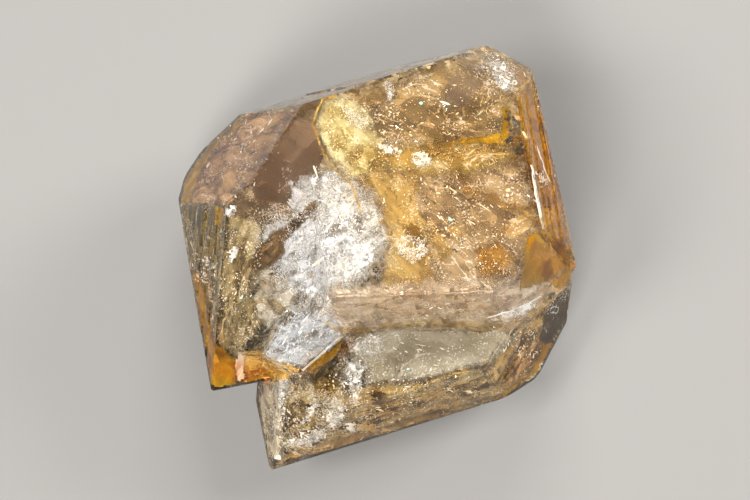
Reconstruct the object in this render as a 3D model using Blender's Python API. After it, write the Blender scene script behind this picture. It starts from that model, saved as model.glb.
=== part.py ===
"""Herkimer diamond: two stubby, doubly terminated quartz crystals grown together side by side.

Both share one long axis (+X) and one set of face directions, so the cluster is one solid.  A face is
given by its azimuth about that axis (0 faces up, 90 faces -Y), the inclination of its normal to the
axis, and its distance from the heart of the cluster.  Each crystal is a block cut by its list of
faces.  Thin plates of the same habit stand a little proud of some faces as growth steps, and a few
edges are chipped.  Angles are in degrees and lengths in millimetres; the finished solid is in metres.
"""
from math import cos, radians, sin

import bmesh
import bpy
from mathutils import Matrix, Vector

MM = 0.001
HEART = (-2.8, -7.8, 19.0)  # where the faces' distances start, over the middle of the underside
BLOCK = 200.0              # edge of the raw block that the faces are cut from
PRISM = 90.0               # inclination of the side faces
UPPER = 52.0               # inclination of the faces that close the +X end
LOWER = 180.0 - UPPER      # inclination of the faces that close the -X end
STEP = 0.2                 # height of one growth step
SETBACK = 0.35             # how far a plate's other faces lie inside those of its crystal
STAGGER = 0.017            # what each plate adds to that, so that no two plates share a plane
CHIP_DEPTH = 0.3           # how deep a chip bites into a corner or an edge
CHIP_RINGS = 24            # segments around the ball that shapes a chip

# The large crystal: face name, then azimuth, inclination and distance.
MAIN = {
    "top": (0, PRISM, 18.0),
    "right": (59, 89, 24.6),
    "right_under": (120, PRISM, 19.7),
    "bottom": (180, PRISM, 19.0),
    "left_under": (-120, PRISM, 41.9),
    "left": (-59, 89, 32.1),
    "upper_top": (1, 48, 35.9),
    "upper_right": (58, 56, 29.1),
    "upper_right_under": (121, 49, 24.5),
    "upper_bottom": (180, UPPER, 31.0),
    "upper_left_under": (-120, 51, 36.5),
    "upper_left": (-61, UPPER, 34.2),
    "tip": (181, 20, 35.0),
    "lower_top": (0, LOWER, 14.3),
    "lower_right": (61, 129, 7.8),
    "lower_right_under": (120, LOWER, 7.8),
    "lower_bottom": (180, LOWER, 30.9),
    "lower_left_under": (-119, LOWER, 32.7),
    "lower_left": (-60, 127, 28.5),
}
# The crystal on its lower right side, which stands back from the large one's top face.
SIDE = {
    "top": (1, 89, 4.0),
    "right": (61, 89, 18.9),
    "right_under": (120, 88, 28.9),
    "bottom": (180, PRISM, 18.3),
    "left_under": (-120, PRISM, 14.0),
    "left": (-60, PRISM, 17.0),
    "upper_top": (0, UPPER, 20.0),
    "upper_right": (60, UPPER, 25.2),
    "upper_right_under": (120, UPPER, 29.8),
    "upper_bottom": (180, UPPER, 26.0),
    "upper_left": (-60, UPPER, 20.0),
    "lower_top": (0, 129, 17.4),
    "lower_right": (59, 129, 17.8),
    "lower_right_under": (122, 127, 22.3),
    "lower_bottom": (180, LOWER, 38.0),
    "lower_left_under": (-121, 129, 27.8),
    "lower_left": (-60, LOWER, 21.1),
}
# A thick plate on the large crystal's top, whose slanting rim runs out over the side crystal.
SHELF = {
    "top": (0, PRISM, 18.3),
    "right": (59, 89, 24.0),
    "rim_right": (71, 116, 16.5),
    "rim": (68, 146, 8.8),
    "right_under": (120, PRISM, 18.4),
    "bottom": (180, PRISM, 1.0),
    "left": (-60, PRISM, 22.0),
    "upper_top": (1, 48, 35.2),
    "upper_right": (58, 56, 28.4),
    "upper_right_under": (121, 49, 23.5),
    "upper_bottom": (180, UPPER, 29.0),
    "upper_left": (-61, UPPER, 33.4),
    "tip": (181, 20, 34.0),
    "lower_top": (0, LOWER, 20.9),
    "lower_left": (-60, LOWER, 17.1),
}
# A small crystal wedged between the other two at the lower end.
KNEE = {
    "top": (0, PRISM, 8.5),
    "right": (60, 105, 5.2),
    "bottom": (180, PRISM, 2.5),
    "left": (-60, PRISM, 14.5),
    "upper_top": (0, UPPER, 12.0),
    "lower_end": (0, 175, 22.5),
}
# Growth plates: crystal, raised face, number of steps, and how much further other faces stand back.
PLATES = (
    (MAIN, "lower_left", 1, {"lower_top": 2.0}),
    (MAIN, "lower_left", 2, {"lower_top": 3.6, "left": 2.0}),
    (MAIN, "lower_left", 3, {"lower_top": 5.4, "lower_left_under": 1.0}),
    (MAIN, "upper_left", 1, {"top": 2.2, "left": 6.0}),
    (MAIN, "upper_right", 1, {"top": 1.8}),
    (MAIN, "upper_right", 2, {"top": 3.4, "upper_top": 9.0}),
    (MAIN, "upper_right", 3, {"top": 5.6, "upper_right_under": 0.8}),
    (MAIN, "upper_left_under", 1, {"upper_left": 3.0}),
    (MAIN, "upper_left_under", 2, {"upper_left": 6.0, "left_under": 8.0}),
    (MAIN, "lower_left_under", 1, {"lower_left": 3.0, "left_under": 2.0}),
    (MAIN, "upper_bottom", 1, {"bottom": 3.0}),
    (MAIN, "upper_right_under", 1, {"upper_right": 3.0}),
    (MAIN, "tip", 1, {"upper_top": 1.5, "upper_left_under": 1.5}),
    (SIDE, "lower_right", 1, {"top": 1.6}),
    (SIDE, "right", 1, {"top": 2.2, "lower_right": 1.5}),
    (SIDE, "right", 2, {"top": 5.0}),
    (SIDE, "lower_left", 1, {"lower_top": 2.0}),
    (SIDE, "lower_top", 1, {"lower_left": 1.8, "lower_right": 1.5}),
    (SIDE, "lower_right_under", 1, {"lower_right": 3.0}),
    (SIDE, "right_under", 1, {"bottom": 3.0, "right": 3.0}),
)
# Chips: crystal, the faces that meet at the chipped corner and the ball radius.
CHIPS = (
    (SIDE, ("lower_right", "lower_right_under", "right"), 2.6),
    (SIDE, ("right", "right_under", "lower_right_under"), 2.0),
    (SIDE, ("lower_left", "lower_left_under", "lower_right_under"), 1.6),
    (MAIN, ("lower_left", "lower_top", "lower_right_under"), 1.5),
    (MAIN, ("left", "left_under", "lower_left_under"), 1.4),
    (MAIN, ("left", "left_under", "upper_left_under"), 1.5),
    (MAIN, ("upper_top", "tip", "upper_left"), 1.2),
)


def face_normal(azimuth, inclination):
    """Outward normal of a face; azimuth turns from +Z towards -Y."""
    turn = radians(azimuth)
    lean = radians(inclination)
    return Vector((cos(lean), -sin(turn) * sin(lean), cos(turn) * sin(lean)))


def finished_mesh(name, bm):
    """Set the mesh around the cluster's heart, in metres, and hand it over."""
    bmesh.ops.translate(bm, verts=bm.verts[:], vec=HEART)
    bmesh.ops.scale(bm, verts=bm.verts[:], vec=(MM, MM, MM))
    mesh = bpy.data.meshes.new(name)
    bm.to_mesh(mesh)
    bm.free()
    return mesh


def crystal_mesh(name, faces):
    """Cut a block by every face of the list and close each cut."""
    bm = bmesh.new()
    bmesh.ops.create_cube(bm, size=BLOCK)
    for azimuth, inclination, distance in faces.values():
        normal = face_normal(azimuth, inclination)
        everything = bm.verts[:] + bm.edges[:] + bm.faces[:]
        cut = bmesh.ops.bisect_plane(bm, geom=everything, plane_co=normal * distance,
                                     plane_no=normal, clear_outer=True)
        rim = [item for item in cut["geom_cut"] if isinstance(item, bmesh.types.BMEdge)]
        if rim:
            bmesh.ops.contextual_create(bm, geom=rim)
    bmesh.ops.recalc_face_normals(bm, faces=bm.faces[:])
    return finished_mesh(name, bm)


def plate_faces(crystal, raised, steps, setbacks, depth):
    """Faces of a plate that stands proud of one face and lies inside all the others."""
    faces = {}
    for name, (azimuth, inclination, distance) in crystal.items():
        if name == raised:
            distance = distance + STEP * steps
        else:
            distance = distance - depth - setbacks.get(name, 0.0)
        faces[name] = (azimuth, inclination, distance)
    return faces


def corner(crystal, names):
    """Point where three faces meet, and the direction that points out of the corner."""
    normals = [face_normal(*crystal[name][:2]) for name in names]
    distances = Vector([crystal[name][2] for name in names])
    point = Matrix(normals).inverted() @ distances
    return point, sum(normals, Vector()).normalized()


def chip_mesh(name, crystal, names, radius):
    """A ball that bites a shallow, shell-shaped chip out of a corner."""
    point, outward = corner(crystal, names)
    centre = point + outward * (radius - CHIP_DEPTH)
    bm = bmesh.new()
    bmesh.ops.create_uvsphere(bm, u_segments=CHIP_RINGS, v_segments=CHIP_RINGS // 2, radius=radius)
    bmesh.ops.translate(bm, verts=bm.verts[:], vec=centre)
    return finished_mesh(name, bm)


def add_cutter(target, mesh, operation):
    """Join a mesh to the target, or take it away, by a Boolean that stays editable."""
    tool = bpy.data.objects.new(mesh.name, mesh)
    bpy.context.scene.collection.objects.link(tool)
    tool.hide_render = True
    tool.display_type = "WIRE"
    boolean = target.modifiers.new(mesh.name, "BOOLEAN")
    boolean.operation = operation
    boolean.solver = "EXACT"
    boolean.object = tool


def quartz_material():
    material = bpy.data.materials.new("smoky_citrine_quartz")
    material.use_nodes = True
    shader = material.node_tree.nodes["Principled BSDF"]
    shader.inputs["Base Color"].default_value = (0.80, 0.66, 0.47, 1.0)
    shader.inputs["Roughness"].default_value = 0.04
    shader.inputs["Metallic"].default_value = 0.0
    shader.inputs["IOR"].default_value = 1.544
    shader.inputs["Transmission Weight"].default_value = 1.0
    return material


def main():
    for item in list(bpy.data.objects):
        bpy.data.objects.remove(item, do_unlink=True)
    crystal = bpy.data.objects.new("crystal", crystal_mesh("crystal", MAIN))
    bpy.context.scene.collection.objects.link(crystal)
    add_cutter(crystal, crystal_mesh("side", SIDE), "UNION")
    add_cutter(crystal, crystal_mesh("shelf", SHELF), "UNION")
    add_cutter(crystal, crystal_mesh("knee", KNEE), "UNION")
    for number, (habit, raised, steps, setbacks) in enumerate(PLATES):
        faces = plate_faces(habit, raised, steps, setbacks, SETBACK + STAGGER * number)
        add_cutter(crystal, crystal_mesh(f"plate_{number}", faces), "UNION")
    for number, (habit, names, radius) in enumerate(CHIPS):
        add_cutter(crystal, chip_mesh(f"chip_{number}", habit, names, radius), "DIFFERENCE")
    crystal.data.materials.append(quartz_material())


main()
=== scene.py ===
import math
import random

import bmesh
import bpy
from mathutils import Matrix, Vector, noise
from mathutils.bvhtree import BVHTree


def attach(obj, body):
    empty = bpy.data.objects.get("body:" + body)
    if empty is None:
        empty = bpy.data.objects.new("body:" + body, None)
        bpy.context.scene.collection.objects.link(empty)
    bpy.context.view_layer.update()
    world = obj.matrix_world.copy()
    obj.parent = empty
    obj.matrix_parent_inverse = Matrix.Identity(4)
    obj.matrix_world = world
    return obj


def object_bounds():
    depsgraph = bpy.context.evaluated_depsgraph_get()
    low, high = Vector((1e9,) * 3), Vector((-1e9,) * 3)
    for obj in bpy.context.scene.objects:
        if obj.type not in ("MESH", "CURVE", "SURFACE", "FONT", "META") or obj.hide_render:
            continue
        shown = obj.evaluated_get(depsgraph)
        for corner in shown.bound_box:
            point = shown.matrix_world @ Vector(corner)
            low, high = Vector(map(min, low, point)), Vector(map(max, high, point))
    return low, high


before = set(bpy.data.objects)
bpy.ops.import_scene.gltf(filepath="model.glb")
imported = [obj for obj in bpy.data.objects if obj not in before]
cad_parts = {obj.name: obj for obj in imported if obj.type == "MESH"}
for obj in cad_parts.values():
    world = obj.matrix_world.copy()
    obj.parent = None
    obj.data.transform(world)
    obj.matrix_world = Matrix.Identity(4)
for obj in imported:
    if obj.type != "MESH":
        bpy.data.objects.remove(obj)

cad_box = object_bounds()

# ---------------------------------------------------------------------------
# Camera. It looks steeply down on the big front face of the crystal, from the
# side of the lower, wedge-shaped ends, as a collector looks at it in the hand.
# Outlines, paths and spots below are in its image points, to the right and down.
MM = 0.001
IMAGE = (750, 500)
FOCAL_POINTS = 1800.0
SENSOR = 36.0
AIM = Vector((-2.8, -3.8, 37.0)) * MM
BACK = Vector((-0.2178, -0.1283, 0.9675)).normalized()
AWAY = 282.6 * MM

camera = bpy.data.objects.new("camera", bpy.data.cameras.new("camera"))
bpy.context.scene.collection.objects.link(camera)
camera.data.lens = FOCAL_POINTS * SENSOR / IMAGE[0]
camera.data.sensor_width = SENSOR
camera.data.clip_start = 0.01
camera.data.clip_end = 20.0
camera.rotation_mode = "QUATERNION"
camera.location = AIM + BACK * AWAY
camera.rotation_quaternion = (-BACK).to_track_quat("-Z", "Y")
bpy.context.scene.camera = camera
bpy.context.scene.view_settings.view_transform = "Standard"


# ---------------------------------------------------------------------------
# Floor and light. The floor is a pale matt paper sweep, and the light is a
# studio tent: an even soft white all round and four soft boxes above.
def linear(code):
    """A linear colour from an sRGB hex code."""
    parts = [int(code[i : i + 2], 16) / 255 for i in (1, 3, 5)]
    return tuple(c / 12.92 if c <= 0.04045 else ((c + 0.055) / 1.055) ** 2.4 for c in parts) + (1.0,)


def add_node(tree, kind, inputs=None, **settings):
    """Adds one node with its settings. Each input is a value, or another node's socket to link."""
    node = tree.nodes.new(kind)
    for name, value in settings.items():
        setattr(node, name, value)
    for name, source in (inputs or {}).items():
        if isinstance(source, bpy.types.NodeSocket):
            tree.links.new(source, node.inputs[name])
        else:
            node.inputs[name].default_value = source
    return node


def new_material(name):
    """An empty material and its node tree."""
    material = bpy.data.materials.new(name)
    material.use_nodes = True
    material.node_tree.nodes.clear()
    return material, material.node_tree


def new_object(name, verts, faces, material):
    """A mesh object at the origin, in metres, with one material."""
    mesh = bpy.data.meshes.new(name)
    mesh.from_pydata([tuple(v) for v in verts], [], faces)
    mesh.update()
    mesh.materials.append(material)
    piece = bpy.data.objects.new(name, mesh)
    bpy.context.scene.collection.objects.link(piece)
    return piece


FLOOR_HALF = 1.5     # half the edge of the paper, in metres
FLOOR_DROP = 0.0001  # how far the paper lies below the crystal, so that the two stay apart
paper, tree = new_material("matt_white_paper")
matt = add_node(tree, "ShaderNodeBsdfPrincipled", {"Base Color": linear("#5E5C59"), "Roughness": 0.9})
add_node(tree, "ShaderNodeOutputMaterial", {"Surface": matt.outputs[0]})
corners = [(x * FLOOR_HALF, y * FLOOR_HALF, -FLOOR_DROP) for x, y in ((-1, -1), (1, -1), (1, 1), (-1, 1))]
floor = new_object("floor", corners, [(0, 1, 2, 3)], paper)

world = bpy.data.worlds.new("studio_tent")
bpy.context.scene.world = world
world.use_nodes = True
world.node_tree.nodes["Background"].inputs["Color"].default_value = linear("#F4F3F1")
world.node_tree.nodes["Background"].inputs["Strength"].default_value = 0.31

SOFT_BOX = 0.25                  # edge of a soft box, in metres
LIT_SPOT = Vector((0, 0, 0.02))  # what the soft boxes are aimed at
for name, place, watts in (
    ("soft_box_front", (-0.48, -0.12, 0.54), 12.0),
    ("soft_box_left", (-0.36, 0.26, 0.57), 8.0),
    ("soft_box_right", (0.5, -0.35, 0.35), 9.6),
    ("soft_box_back", (0.44, 0.2, 0.38), 5.6),
):
    light = bpy.data.objects.new(name, bpy.data.lights.new(name, "AREA"))
    bpy.context.scene.collection.objects.link(light)
    light.data.size = SOFT_BOX
    light.data.energy = watts
    light.location = place
    light.rotation_mode = "QUATERNION"
    light.rotation_quaternion = (Vector(place) - LIT_SPOT).to_track_quat("Z", "Y")


# ---------------------------------------------------------------------------
# The two joined quartz crystals. Clear to smoky rock crystal that grew in a
# pocket of the rock, with bright natural faces. Iron oxide has soaked into the
# edges and cracks, so the colour runs from clear through honey to orange.
QUARTZ_IOR = 1.544
MERGE = 0.000001   # corners of the solid this near each other, in metres, are one
FLAT_ANGLE = 0.03  # triangles that meet at less than this, in radians, are one flat face
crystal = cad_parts["crystal"]
shape = bmesh.new()
shape.from_mesh(crystal.data)
bmesh.ops.remove_doubles(shape, verts=shape.verts, dist=MERGE)
skin = BVHTree.FromBMesh(shape)
bmesh.ops.dissolve_limit(shape, angle_limit=FLAT_ANGLE, verts=shape.verts, edges=shape.edges)
flats = [(f.calc_center_median() / MM, f.normal.copy(), math.sqrt(f.calc_area()) / MM) for f in shape.faces]
shape.free()


def is_inside(point, margin):
    """True if the point lies in the quartz, at least a margin below its faces."""
    place, normal, _, distance = skin.find_nearest(point)
    return (point - place).dot(normal) < 0 and distance > margin


def look_at(px, py):
    """What shows at an image point: the place on a face, its normal and the bent ray below, or None."""
    turn = camera.rotation_quaternion
    ray = turn @ Vector(((px - IMAGE[0] / 2) / FOCAL_POINTS, (IMAGE[1] / 2 - py) / FOCAL_POINTS, -1.0))
    ray.normalize()
    place, normal, _, _ = skin.ray_cast(camera.location, ray)
    if place is None:
        return None
    cosine = -ray.dot(normal)
    ratio = 1 / QUARTZ_IOR
    return place, normal, ratio * ray + (ratio * cosine - math.sqrt(1 - ratio**2 * (1 - cosine**2))) * normal


def under(px, py, depth):
    """The point at a depth in mm below the face that shows at an image point."""
    place, _, ray = look_at(px, py)
    return place + ray * depth * MM


# Each stain is a long soft patch between two image points, with its half width
# in image points, the depth of its middle and its half thickness in mm, its
# colour and how strongly it shows.
STAINS = {
    "milky_heart": ((360, 185), (300, 290), 44, 2, 9, "#FCFBFF", 0.9),
    "frosty_knee": ((280, 348), (335, 325), 20, 2, 5, "#FCFBFF", 0.8),
    "honey_half": ((370, 190), (530, 185), 75, 9, 15, "#EED08A", 0.7),
    "amber_low": ((330, 412), (440, 408), 26, 5, 12, "#CFA750", 0.75),
    "left_brown": ((247, 130), (215, 190), 26, 3, 9, "#C9A468", 0.7),
    "smoky_corner": ((300, 122), (268, 205), 34, 4, 9, "#9A8068", 0.9),
    "lobed": ((330, 120), (365, 172), 22, 3, 7, "#F2DA80", 0.8),
    "pink_band": ((370, 303), (480, 305), 20, 3, 8, "#EACB9A", 0.6),
    "grey_clear": ((385, 345), (485, 345), 17, 3, 9, "#CBC4B8", 0.85),
    "orange_edge": ((528, 90), (568, 268), 17, 3, 12, "#E0A200", 0.95),
    "gold_corner": ((532, 240), (560, 272), 17, 2, 6, "#F0B400", 1.0),
    "amber_left_rim": ((236, 122), (190, 194), 8, 1, 6, "#C98410", 0.9),
    "left_foot": ((196, 262), (212, 372), 14, 2, 8, "#D9A22A", 0.9),
    "orange_block": ((218, 374), (264, 374), 12, 2, 8, "#F09A00", 1.0),
    "brown_wedge": ((305, 368), (345, 342), 9, 2, 6, "#C08A20", 0.9),
    "low_right": ((505, 386), (548, 345), 13, 2, 8, "#D09A18", 0.9),
    "honey_seam": ((350, 152), (500, 158), 7, 2, 6, "#F0BC30", 0.85),
}
STAIN_SWIRL = 6.25  # size in mm of the swirls that make the stains' edges wander
STAIN_DRIFT = 8.0   # how far they wander, in mm


def stain_group():
    """Node group that gives the stain colour at a place in the crystal."""
    group = bpy.data.node_groups.new("iron_stain", "ShaderNodeTree")
    group.interface.new_socket("Color", in_out="OUTPUT", socket_type="NodeSocketColor")
    where = group.nodes.new("ShaderNodeTexCoord").outputs["Object"]
    swirl = {"Vector": where, "Scale": 1 / (STAIN_SWIRL * MM), "Detail": 4.0, "Roughness": 0.6}
    wander = add_node(group, "ShaderNodeTexNoise", swirl).outputs["Color"]
    drift = {0: wander, 1: (STAIN_DRIFT * MM,) * 3, 2: (-STAIN_DRIFT / 2 * MM,) * 3}
    shift = add_node(group, "ShaderNodeVectorMath", drift, operation="MULTIPLY_ADD").outputs[0]
    place = add_node(group, "ShaderNodeVectorMath", {0: where, 1: shift}, operation="ADD").outputs[0]
    colour = group.nodes.new("ShaderNodeRGB").outputs[0]
    colour.default_value = linear("#EFE6D4")
    for name, (start, end, half_width, depth, half_depth, code, strength) in STAINS.items():
        first, last = under(*start, depth), under(*end, depth)
        along = (last - first).normalized()
        across = BACK.cross(along).normalized()
        width = half_width / FOCAL_POINTS * AWAY
        box = {
            "Vector": place,
            "Location": (first + last) / 2,
            "Rotation": Matrix((along, across, along.cross(across))).transposed().to_euler(),
            "Scale": ((last - first).length / 2 + width, width, half_depth * MM),
        }
        patch = add_node(group, "ShaderNodeMapping", box, vector_type="TEXTURE", label=name).outputs[0]
        reach = add_node(group, "ShaderNodeVectorMath", {0: patch}, operation="LENGTH").outputs["Value"]
        edge = {"Value": reach, "From Min": 1.25, "From Max": 0.75, "To Min": 0.0, "To Max": strength}
        fade = add_node(group, "ShaderNodeMapRange", edge, interpolation_type="SMOOTHSTEP").outputs["Result"]
        blend = {"Factor": fade, 6: colour, 7: linear(code)}
        colour = add_node(group, "ShaderNodeMix", blend, data_type="RGBA").outputs[2]
    add_node(group, "NodeGroupOutput", {"Color": colour})
    return group


iron_stain = stain_group()


def stained(tree, own=None):
    """The stain colour, or a piece's own colour seen through the stain."""
    stain = add_node(tree, "ShaderNodeGroup", node_tree=iron_stain).outputs["Color"]
    if own is None:
        return stain
    blend = {"Factor": 1.0, 6: own, 7: stain}
    return add_node(tree, "ShaderNodeMix", blend, data_type="RGBA", blend_type="MULTIPLY").outputs[2]


quartz, tree = new_material("smoky_rock_crystal")
thin = {"Factor": 0.5, 6: stained(tree), 7: linear("#FFFFFF")}
clear = {
    "Base Color": add_node(tree, "ShaderNodeMix", thin, data_type="RGBA").outputs[2],
    "Roughness": 0.03,
    "IOR": QUARTZ_IOR,
    "Transmission Weight": 1.0,
}
glass = add_node(tree, "ShaderNodeBsdfPrincipled", clear)
tint = add_node(tree, "ShaderNodeVolumeAbsorption", {"Color": linear("#F8E6B0"), "Density": 11.0})
add_node(tree, "ShaderNodeOutputMaterial", {"Surface": glass.outputs[0], "Volume": tint.outputs[0]})
for slot in crystal.material_slots:
    slot.material = quartz


# ---------------------------------------------------------------------------
# Fractures and healed cracks. Sheets that opened while the crystal grew and
# closed again. They are crumpled like crushed glass, and where air is left in
# them they shine white; where iron water came in they are honey coloured.
noise.seed_set(4)  # a fixed seed, so that every run makes the same sheets
JITTER = 0.7     # how far a sheet's vertices stray from their grid, in steps of it
THINNEST = 0.03  # a veil thinner than this share is left out
WHOLE = -9.0     # gaps value of a sheet without gaps


def smooth(low, high, value):
    """0 below low, 1 above high, and a soft step between."""
    t = min(max((value - low) / (high - low), 0.0), 1.0)
    return t * t * (3 - 2 * t)


def clouds(spot):
    """A soft, feathery noise from about -1 to 1."""
    bent = spot + 1.5 * noise.noise_vector(spot * 0.7)
    fine = 0.3 * noise.noise(bent * 5.1)
    return noise.noise(bent) + 0.5 * noise.noise(bent * 2.3) + fine + 0.2 * noise.noise(bent * 11.0)


def nudged(i, j, seed):
    """A random offset for one vertex of a grid."""
    return noise.noise_vector(Vector((i * 3.7, j * 2.9, seed * 1.3)))


def crumpled_sheet(centre, normal, radius, wave, seed, grid, facet=0.0, gaps=WHOLE):
    """A ragged sheet round a centre in mm, kept inside the quartz: its vertices, faces and veils.

    wave is the height of its long swells, facet that of its small crisp steps and grid the spacing
    of its vertices, in mm. A veil is how thick the film is, from 0 to 1. It thins out at the rim,
    and where a cloudy noise is below gaps.
    """
    turn = normal.to_track_quat("Z", "Y")
    count = int(radius * 1.2 / grid)
    index, verts, veils, faces = {}, [], [], []
    for i in range(-count, count + 1):
        for j in range(-count, count + 1):
            nudge = nudged(i, j, seed)
            flat = Vector(((i + JITTER * nudge.x) * grid, (j + JITTER * nudge.y) * grid, 0))
            ragged = 0.3 * noise.noise(flat * 3 / radius + Vector((seed * 7.1, 0, 0)))
            veil = 1 - smooth(0.8, 1.0, flat.length / radius - ragged)
            if veil > THINNEST and gaps > WHOLE:
                veil *= smooth(gaps, gaps + 0.5, clouds(flat / 3.0 + Vector((0, 0, 3.7 * seed))))
            if veil < THINNEST:
                continue
            lift = wave * noise.noise(flat * 0.1 + Vector((0, seed * 3.3, 0)))
            lift += 0.3 * wave * noise.noise(flat * 0.4 + Vector((0, 0, seed * 5.9)))
            if facet:
                near = noise.voronoi(flat * 0.6 + Vector((0, 0, seed * 2.3)))[0]
                lift += facet * (near[1] - near[0]) + 0.4 * facet * noise.noise(flat * 1.9)
            point = (centre + turn @ (flat + Vector((0, 0, lift)))) * MM
            if is_inside(point, 0.5 * MM):
                index[i, j] = len(verts)
                verts.append(point)
                veils.append(veil)
    for i, j in index:
        ring = [index.get(key) for key in ((i, j), (i + 1, j), (i + 1, j + 1), (i, j + 1))]
        if None not in ring:
            faces.append(ring)
    return verts, faces, veils


def edge_distance(px, py, outline):
    """How far an image point lies inside an outline, in image points; less than 0 outside."""
    nearest, inside = math.inf, False
    for (x0, y0), (x1, y1) in zip(outline, outline[1:] + outline[:1]):
        run = (x1 - x0) ** 2 + (y1 - y0) ** 2
        t = min(max(((px - x0) * (x1 - x0) + (py - y0) * (y1 - y0)) / run, 0.0), 1.0)
        nearest = min(nearest, math.hypot(px - x0 - t * (x1 - x0), py - y0 - t * (y1 - y0)))
        if (y0 > py) != (y1 > py) and px < x0 + (py - y0) * (x1 - x0) / (y1 - y0):
            inside = not inside
    return nearest if inside else -nearest


def seen_patch(
    outline, depth, swell, facet, step, seed, soft, gaps=WHOLE, slope=(0, 0), feather=0.5, grain=14.0
):
    """A crumpled sheet that shows inside an outline in the image: its vertices, faces and veils.

    depth is its mean depth in mm below the faces, slope how much deeper it runs per 100 image points
    right and down, swell and facet the heights in mm of its long waves and its crisp steps. step is
    the spacing of its vertices. It thins out over soft image points at its edge, and where a cloudy
    noise of grain image points is below gaps, over a span of feather.
    """
    xs, ys = [x for x, _ in outline], [y for _, y in outline]
    middle = ((min(xs) + max(xs)) / 2, (min(ys) + max(ys)) / 2)
    index, verts, veils, faces = {}, [], [], []
    for i in range(int((max(xs) - min(xs) + 2 * soft) / step) + 1):
        for j in range(int((max(ys) - min(ys) + 2 * soft) / step) + 1):
            px, py = min(xs) - soft + i * step, min(ys) - soft + j * step
            nudge = nudged(i, j, seed)
            px, py = px + JITTER * step * nudge.x, py + JITTER * step * nudge.y
            spot = Vector((px, py, 0)) / grain + Vector((0, 0, 3.7 * seed))
            veil = smooth(-soft, soft, edge_distance(px, py, outline) + soft * 0.8 * clouds(spot * 1.7))
            if gaps > WHOLE:
                veil *= smooth(gaps, gaps + feather, clouds(spot))
            hit = look_at(px, py) if veil >= THINNEST else None
            if hit is None:
                continue
            place, normal, ray = hit
            lower = depth + slope[0] * (px - middle[0]) / 100 + slope[1] * (py - middle[1]) / 100
            lower += swell * noise.noise(spot * 0.3) + 0.4 * swell * noise.noise(spot * 0.9)
            near = noise.voronoi(spot * 1.6)[0]
            lower += facet * (near[1] - near[0] - 0.3) + 0.4 * facet * noise.noise(spot * 5.0)
            point = place + ray * max(lower, 0.4) * MM
            if is_inside(point, 0.3 * MM):
                index[i, j] = len(verts)
                verts.append(point)
                veils.append(veil)
    longest = 12 * step / FOCAL_POINTS * AWAY
    for i, j in index:
        ring = [index.get(key) for key in ((i, j), (i, j + 1), (i + 1, j + 1), (i + 1, j))]
        if None not in ring and max((verts[ring[n]] - verts[ring[n - 1]]).length for n in range(4)) < longest:
            faces.append(ring)
    return verts, faces, veils


def joined(sheets):
    """One list of vertices, faces and veils from several sheets."""
    verts, faces, veils = [], [], []
    for some_verts, some_faces, some_veils in sheets:
        faces += [[i + len(verts) for i in face] for face in some_faces]
        verts += some_verts
        veils += some_veils
    return verts, faces, veils


def film(name, sheets, material, thickness=0.06):
    """Turns sheets into one closed thin piece that rides on the crystal; thickness is in mm."""
    verts, faces, veils = joined(sheets)
    used = sorted({i for face in faces for i in face})
    renumber = {old: new for new, old in enumerate(used)}
    verts = [verts[i] for i in used]
    veils = [veils[i] for i in used]
    faces = [[renumber[i] for i in face] for face in faces]
    outward = [Vector() for _ in verts]
    edges = set()
    for face in faces:
        normal = (verts[face[2]] - verts[face[0]]).cross(verts[face[3]] - verts[face[1]]).normalized()
        for n, i in enumerate(face):
            outward[i] += normal
            edges.add((i, face[(n + 1) % 4]))
    half = [v.normalized() * thickness / 2 * MM for v in outward]
    count = len(verts)
    shell = [v + h for v, h in zip(verts, half)] + [v - h for v, h in zip(verts, half)]
    skins = [list(face) for face in faces] + [[i + count for i in reversed(face)] for face in faces]
    walls = [[b, a, a + count, b + count] for a, b in sorted(edges) if (b, a) not in edges]
    piece = new_object(name, shell, skins + walls, material)
    piece.data.attributes.new("veil", "FLOAT", "POINT").data.foreach_set("value", veils + veils)
    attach(piece, "root")


def soft_alpha(tree, shader, opacity):
    """Lets a film thin out with its veil attribute; opacity is for both of its skins together."""
    veil = add_node(tree, "ShaderNodeAttribute", {}, attribute_name="veil").outputs["Fac"]
    share = add_node(tree, "ShaderNodeMath", {0: veil, 1: 1 - math.sqrt(1 - opacity)}, operation="MULTIPLY")
    tree.links.new(share.outputs[0], shader.inputs["Alpha"])


def broken(tree, where, cell_mm, lean):
    """Crisp cells as on broken glass: a random tone for each, and a normal that leans its own way."""
    swirl = {"Vector": where, "Scale": 0.8 / (cell_mm * MM), "Detail": 2.0}
    wander = add_node(tree, "ShaderNodeTexNoise", swirl)
    bend = {0: wander.outputs["Color"], 1: (0.8 * cell_mm * MM,) * 3, 2: where}
    shift = add_node(tree, "ShaderNodeVectorMath", bend, operation="MULTIPLY_ADD").outputs[0]
    cells = add_node(tree, "ShaderNodeTexVoronoi", {"Vector": shift, "Scale": 1 / (cell_mm * MM)})
    vector = cells.outputs["Color"]
    for operation, inputs in (
        ("SUBTRACT", {1: (0.5,) * 3}),
        ("SCALE", {"Scale": 2 * lean}),
        ("ADD", {1: tree.nodes.new("ShaderNodeNewGeometry").outputs["Normal"]}),
        ("NORMALIZE", {}),
    ):
        vector = add_node(tree, "ShaderNodeVectorMath", {0: vector, **inputs}, operation=operation).outputs[0]
    return add_node(tree, "ShaderNodeSeparateXYZ", {0: cells.outputs["Color"]}).outputs[0], vector


def in_patches(tree, value, where, scale, detail, low, high):
    """Lets a value through only in soft random patches, where a noise runs from low to high."""
    patch = add_node(tree, "ShaderNodeTexNoise", {"Vector": where, "Scale": scale, "Detail": detail})
    edge = {"Value": patch.outputs["Fac"], "From Min": low, "From Max": high}
    share = add_node(tree, "ShaderNodeMapRange", edge, interpolation_type="SMOOTHSTEP").outputs["Result"]
    return add_node(tree, "ShaderNodeMath", {0: value, 1: share}, operation="MULTIPLY").outputs[0]


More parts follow.
